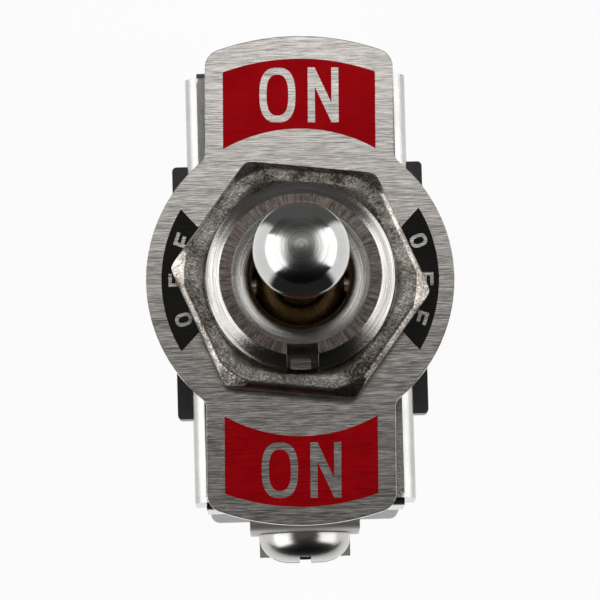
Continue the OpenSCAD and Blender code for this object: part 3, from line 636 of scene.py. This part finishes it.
def pin_hole(clearance, reach):
    """Cutter along X for the pivot pin: its cylinder with a clearance, out to a reach."""
    low, high = extent("pivot_pin")
    radius = (high[2] - low[2]) / 2 + clearance
    points, faces = revolved([(0, -reach), (radius, -reach), (radius, reach), (0, reach)], 64)
    x, y, z = np.moveaxis(points, -1, 0)
    return make_mesh("pin_hole", np.stack([z, x, y + PIVOT_Z], axis=-1), faces)


def outline_mesh(name, loops, thickness, place):
    """Flat sheet inside closed loops, where a loop within another is a hole, moved by a matrix."""
    curve = bpy.data.curves.new(name, "CURVE")
    curve.dimensions, curve.fill_mode = "2D", "BOTH"
    curve.extrude = thickness / 2
    for loop in loops:
        spline = curve.splines.new("POLY")
        spline.points.add(len(loop) - 1)
        flat = np.column_stack([loop, np.zeros(len(loop)), np.ones(len(loop))])
        spline.points.foreach_set("co", flat.ravel())
        spline.use_cyclic_u = True
    mesh = applied(in_scene(name, curve))
    mesh.transform(place)
    clean(mesh)
    return mesh


def superellipse(half_w, half_h, power=2.6):
    """Loop where x and y, each as a share of its half size and raised to a power, add up to 1."""
    t = np.linspace(0, 2 * math.pi, 64, endpoint=False)
    c, s = np.cos(t), np.sin(t)
    return np.column_stack([half_w * np.sign(c) * abs(c) ** (2 / power),
                            half_h * np.sign(s) * abs(s) ** (2 / power)])


def letter_o(width, height, stroke):
    """Outer and inner loop of an O."""
    return [superellipse(width / 2, height / 2),
            superellipse(width / 2 - stroke, height / 2 - stroke)]


def letter_n(width, height, stroke):
    """Loop of an N, with a diagonal a little wider than the uprights."""
    w, h, s = width / 2, height / 2, stroke
    notch = h - 2.75 * s
    return [np.array([[-w, -h], [-w + s, -h], [-w + s, notch], [w - s, -h], [w, -h], [w, h],
                      [w - s, h], [w - s, -notch], [-w + s, h], [-w, h]])]


def letter_f(width, height, stroke):
    """Loop of an F."""
    w, h, s = width / 2, height / 2, stroke
    arm = w * 0.7
    return [np.array([[-w, -h], [-w + s, -h], [-w + s, -s / 2], [arm, -s / 2], [arm, s / 2],
                      [-w + s, s / 2], [-w + s, h - s], [w, h - s], [w, h], [-w, h]])]


def moved(loops, angle, x, y):
    """Loops turned by an angle in degrees and then moved."""
    c, s = math.cos(math.radians(angle)), math.sin(math.radians(angle))
    return [loop @ np.array([[c, s], [-s, c]]) + [x, y] for loop in loops]


PLATE_TURN = -1.1         # degrees by which the legend plate is turned about the bushing
INK_T = 0.02              # thickness of the printed ink
RED_SHIFT = -0.16         # the red fields sit a little low on the plate


def printed(name, loops, finish):
    """A layer of ink inside loops, which are given in the legend plate's own plane."""
    middle_y = (PLATE_LOW[1] + PLATE_HIGH[1]) / 2
    lift = Matrix.Translation((0, middle_y * MM, (PLATE_HIGH[2] + INK_T / 2) * MM))
    place = lift @ Matrix.Rotation(math.radians(PLATE_TURN), 4, "Z") @ Matrix.Scale(MM, 4)
    mesh = outline_mesh(name, loops, INK_T, place)
    return add_piece(name, mesh, finish, "legend_plate", stands_for_node=False)


def red_field(name, side):
    """Red field on one wing, between two arcs about the middle, with ON left bare."""
    inner_r, outer_r, half_w, word_r = 9.9, 14.43, 4.9, 12.08
    height, stroke, width_o, width_n, gap = 3.56, 0.46, 2.32, 1.98, 0.79
    outer = math.degrees(math.asin(half_w / outer_r))
    inner = math.degrees(math.asin(half_w / inner_r))
    field = np.concatenate([arc((0, 0), outer_r, 90 + outer, 90 - outer, 40),
                            arc((0, 0), inner_r, 90 - inner, 90 + inner, 32)])
    word_w = width_o + gap + width_n
    word = moved(letter_o(width_o, height, stroke), 0, -word_w / 2 + width_o / 2, side * word_r)
    word += moved(letter_n(width_n, height, stroke), 0, word_w / 2 - width_n / 2, side * word_r)
    return printed(name, [loop + [0, RED_SHIFT] for loop in (field * [1, side], *word)], RED_INK)


def black_sector(name, turn, letter_r, spacing):
    """Black sector beside the nut, with OFF left bare and its letters' tops turned outwards.

    The letters stand at a radius, at angles that differ by the spacing, and the whole is turned.
    """
    outer_r, inner_r, half_angle, slant = 8.9, 6.6, 31.0, 6
    height, stroke, width = 1.1, 0.22, 0.85
    field = np.concatenate([arc((0, 0), outer_r, half_angle, -half_angle, 48),
                            arc((0, 0), inner_r, -half_angle + slant, half_angle - slant, 32)])
    loops = [field]
    for letter, at in [(letter_o, spacing), (letter_f, 0), (letter_f, -spacing)]:
        x, y = letter_r * math.cos(math.radians(at)), letter_r * math.sin(math.radians(at))
        loops += moved(letter(width, height, stroke), at - 90, x, y)
    return printed(name, moved(loops, turn, 0, 0), BLACK_INK)


def terminal_screw(name, node, axis):
    """Pan-head screw with a cross recess and a rolled thread.

    Its own axis is Z, with the head standing on z = 0. Below the head the radius rises and falls
    with the turn, which gives the thread, and it tapers at the point.
    """
    low, high = extent(node)
    along = int(abs(axis[1]) > 0.5)
    head_r = (high - low)[1 - along] / 2
    head_h, rim_h, flat_r, edge = 2.0, 0.35, 1.1, 0.08
    core, crest, pitch, rows_per_turn, columns = 1.45, 1.75, 0.6, 12, 64
    lead_in, run_out, point_h, point_depth = 0.3, 0.5, 0.4, 0.3
    shank = (high - low)[along] - head_h
    dome = arc((0, 0), 1, 90, 0, 14) * [head_r - flat_r, head_h - rim_h] + [flat_r, rim_h]
    head, _ = revolved([[0, head_h], *dome, [head_r, edge], [head_r - edge, 0]], columns)
    angle = full_turn(columns)
    down = np.linspace(0, shank, int(shank / pitch * rows_per_turn))[:, None]
    wave = abs(((down / pitch + angle / (2 * math.pi)) % 1) * 2 - 1)
    fade = np.clip((shank - down) / run_out, 0, 1) * np.clip(down / lead_in, 0, 1)
    point = point_depth * np.clip(1 - (shank - down) / point_h, 0, 1)
    thread = around_z(core + (crest - core) * wave * fade - point, angle, -down)
    rows = np.concatenate([head, thread, thread[-1:] * [0, 0, 1]])
    mesh = make_mesh(name, rows, grid_faces(len(rows), columns, round_cols=True))
    mesh = cut_from(mesh, cross_wing(head_h, 0), cross_wing(head_h, 90))
    mesh.transform(screw_matrix(node, axis, head_h))
    return add_piece(name, mesh, SCREW, node)


def cross_wing(head_h, turn):
    """One wing of the cross recess: a wedge that narrows with depth, turned about the screw."""
    corners = np.array([[-1, -1], [1, -1], [1, 1], [-1, 1]])
    floor, mouth = ((1.3, 0.3), head_h - 1.3), ((2.75, 0.42), head_h + 0.3)
    points = np.concatenate([np.column_stack([corners * half_sizes, np.full(4, z)])
                             for half_sizes, z in (floor, mouth)])
    c, s = math.cos(math.radians(turn)), math.sin(math.radians(turn))
    points = points @ np.array([[c, s, 0], [-s, c, 0], [0, 0, 1]])
    ends = [[0, 1, 2, 3], [4, 5, 6, 7]]
    return make_mesh("wing", points, np.concatenate([grid_faces(2, 4, round_cols=True), ends]))


def screw_matrix(node, axis, head_h):
    """Matrix that lays a screw's own Z axis along an axis, its head's outer end where the node's is.

    The screw's own X axis points up.
    """
    low, high = extent(node)
    direction = np.array(axis, float)
    head_end = np.where(direction == 0, (low + high) / 2, np.where(direction > 0, high, low))
    seat = head_end - direction * head_h
    up, out = Vector((0, 0, 1)), Vector(axis)
    turn = Matrix((up, out.cross(up), out)).transposed().to_4x4()
    return Matrix.Translation(Vector(seat * MM)) @ turn


def pressed_spring():
    """The plunger's spring, which the plunger's travel shortens towards its upper end. Here it is a merged copy of
    its node with a mesh of its own; the share of its length that the travel takes up is worked out but not
    applied.
    """
    low, high = extent("plunger_spring")
    travel = joint_named("plunger_slide")["range_m"][1] / MM
    spring = add_piece("pressed_spring", settled(merged_copy("plunger_spring")), SPRING,
                       "plunger_spring")
    1 - travel / (high[2] - low[2])
    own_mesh(spring)


round_edges("folded_frame", "mounting_frame", BRIGHT, 0.05)
round_edges("moulded_base", "base_housing", PHENOLIC, 0.14, 3)
round_edges("engraved_plate", "legend_plate", LEGEND, 0.05)
round_edges("toothed_washer", "lock_washer", NICKEL, 0.04)
for side in ("front", "rear", "common"):
    round_edges(f"{side}_blade", f"{side}_terminal", TERMINAL, 0.07)
hex_nut("rolled_top_nut", "top_nut", -6.7)
hex_nut("rolled_lower_nut", "lower_nut", 12)
threaded_bushing()
bat_lever()
red_field("red_field_rear", 1)
red_field("red_field_front", -1)
black_sector("black_sector_right", 0, 8.0, 17.9)
black_sector("black_sector_left", 180, 7.9, 18.7)
for side, axis in [("front", (0, -1, 0)), ("rear", (0, 1, 0)), ("common", (1, 0, 0))]:
    terminal_screw(f"{side}_screw_cut", f"{side}_screw", axis)
pressed_spring()

dress("pivot_pin", SPRING)
dress("plunger", NYLON)
dress("insulating_sheet", FIBRE)
for brass_node in ("rocker_contact", "fulcrum_bracket", "common_rivet"):
    dress(brass_node, BRASS)
for silver_node in ("rocker_silver_front", "rocker_silver_rear", "front_silver", "rear_silver"):
    dress(silver_node, SILVER)


# ---------------------------------------------------------------- studio, in metres

def lamp(name, place, size, target, watts):
    """Rectangular soft light that looks at a target."""
    data = bpy.data.lights.new(name, "AREA")
    data.shape, data.size, data.size_y, data.energy = "RECTANGLE", *size, watts
    thing = in_scene(name, data)
    thing.location = place
    thing.rotation_euler = (Vector(place) - Vector(target)).to_track_quat("Z", "Y").to_euler()


def pale_floor():
    """Floor under the terminals: white for the camera, with a soft shadow.

    In reflections it glows with a painted reflection, white close to the object and towards the softboxes at its
    sides, and dark elsewhere, as black cards in front of and behind the object would leave it.
    """
    f = Finish("pale_floor", Base_Color=(0.9, 0.9, 0.9), Roughness=0.8)
    path = f.node("LightPath").outputs
    away = f.radius() + 0.001
    slant = abs(f.y) / away  # 0 straight to the sides, and 1 straight to the front or back
    beside = f.step(slant, 0.72, 0.58)
    close = f.step(away, 36, 20)
    behind = f.step(f.y, -20, 60)
    # painted reflection: the tone the floor glows with in glossy and transmission rays, set by place and not by
    # any lamp
    tone = f.clamp(f.clamp(beside + close) * 0.95 + behind * 0.09 + 0.02)
    seen = Value(f, path["Is Camera Ray"]) * 0.94
    bounced = f.clamp(Value(f, path["Is Glossy Ray"]) + Value(f, path["Is Transmission Ray"]))
    white = f.node("Emission", Color=(1, 1, 1), Strength=1.0).outputs[0]
    mirror = f.node("Emission", Color=f.mixed(tone, (0, 0, 0), (1, 1, 1)), Strength=1.0).outputs[0]
    plain = f.node("MixShader", None, seen, f.shader.outputs["BSDF"], white).outputs[0]
    f.feed(f.output.inputs["Surface"],
           f.node("MixShader", None, bounced, plain, mirror).outputs[0])
    half, level = 0.9, cad_box[0][2]
    corners = [[-half, -half, level], [half, -half, level], [half, half, level],
               [-half, half, level]]
    mesh = bpy.data.meshes.new("floor")
    mesh.from_pydata(corners, [], [[0, 1, 2, 3]])
    mesh.materials.append(f.material)
    in_scene("floor", mesh)


def studio_world():
    """White behind the object, and for light and reflections a grey that follows the Y direction."""
    greys = [(-1, 0.004), (-0.6, 0.012), (-0.35, 0.04), (-0.1, 0.065), (0.05, 0.085),
             (0.14, 0.24), (0.4, 0.32), (0.62, 0.12), (0.8, 0.06), (1, 0.12)]
    stops = [((direction + 1) / 2, tone) for direction, tone in greys]
    world = bpy.data.worlds.new("studio")
    world.use_nodes = True
    w = Nodes(world.node_tree)
    direction = w.node("SeparateXYZ", None, w.node("TexCoord").outputs["Generated"]).outputs["Y"]
    share = w.node("MapRange", None, Value=direction, From_Min=-1.0).outputs[0]
    tone = w.node("ValToRGB", {"stops": stops}, share).outputs["Color"]
    grey = w.node("Background", None, tone).outputs[0]
    white = w.node("Background", None, (1, 1, 1)).outputs[0]
    seen = w.node("LightPath").outputs["Is Camera Ray"]
    w.node("OutputWorld", None, w.node("MixShader", None, seen, grey, white).outputs[0])
    bpy.context.scene.world = world


def camera():
    """Camera above the lever's end, leaning a few degrees towards -Y, with a long lens."""
    lean, turn, roll = (math.radians(angle) for angle in (5.264, -3.171, -1.676))
    aim, distance = Vector((-0.000030, -0.000833, 0)), 0.35
    back = Vector((math.sin(lean) * math.sin(turn), -math.sin(lean) * math.cos(turn),
                   math.cos(lean)))
    up = Vector((-math.sin(turn), math.cos(turn), 0))
    up = (up - back * up.dot(back)).normalized()
    right = up.cross(back)
    right, up = (math.cos(roll) * right - math.sin(roll) * up,
                 math.sin(roll) * right + math.cos(roll) * up)
    data = bpy.data.cameras.new("camera")
    data.lens, data.sensor_width = 324.2, 36
    data.clip_start, data.clip_end = 0.01, 10
    thing = in_scene("camera", data)
    thing.matrix_world = Matrix.Translation(aim + back * distance) @ Matrix(
        (right, up, back)).transposed().to_4x4()
    bpy.context.scene.camera = thing


pale_floor()
studio_world()
lamp("softbox_left", (-0.45, -0.08, 0.23), (0.7, 0.5), (0, -0.08, 0.1), 2.15)
lamp("softbox_right", (0.45, 0.05, 0.23), (0.7, 0.5), (0, 0.05, 0.1), 1.95)
lamp("overhead", (0, 0.104, 0.5), (0.24, 0.08), (0, 0, 0), 0.066)
camera()
bpy.context.scene.view_settings.view_transform = "Standard"

bpy.context.view_layer.update()
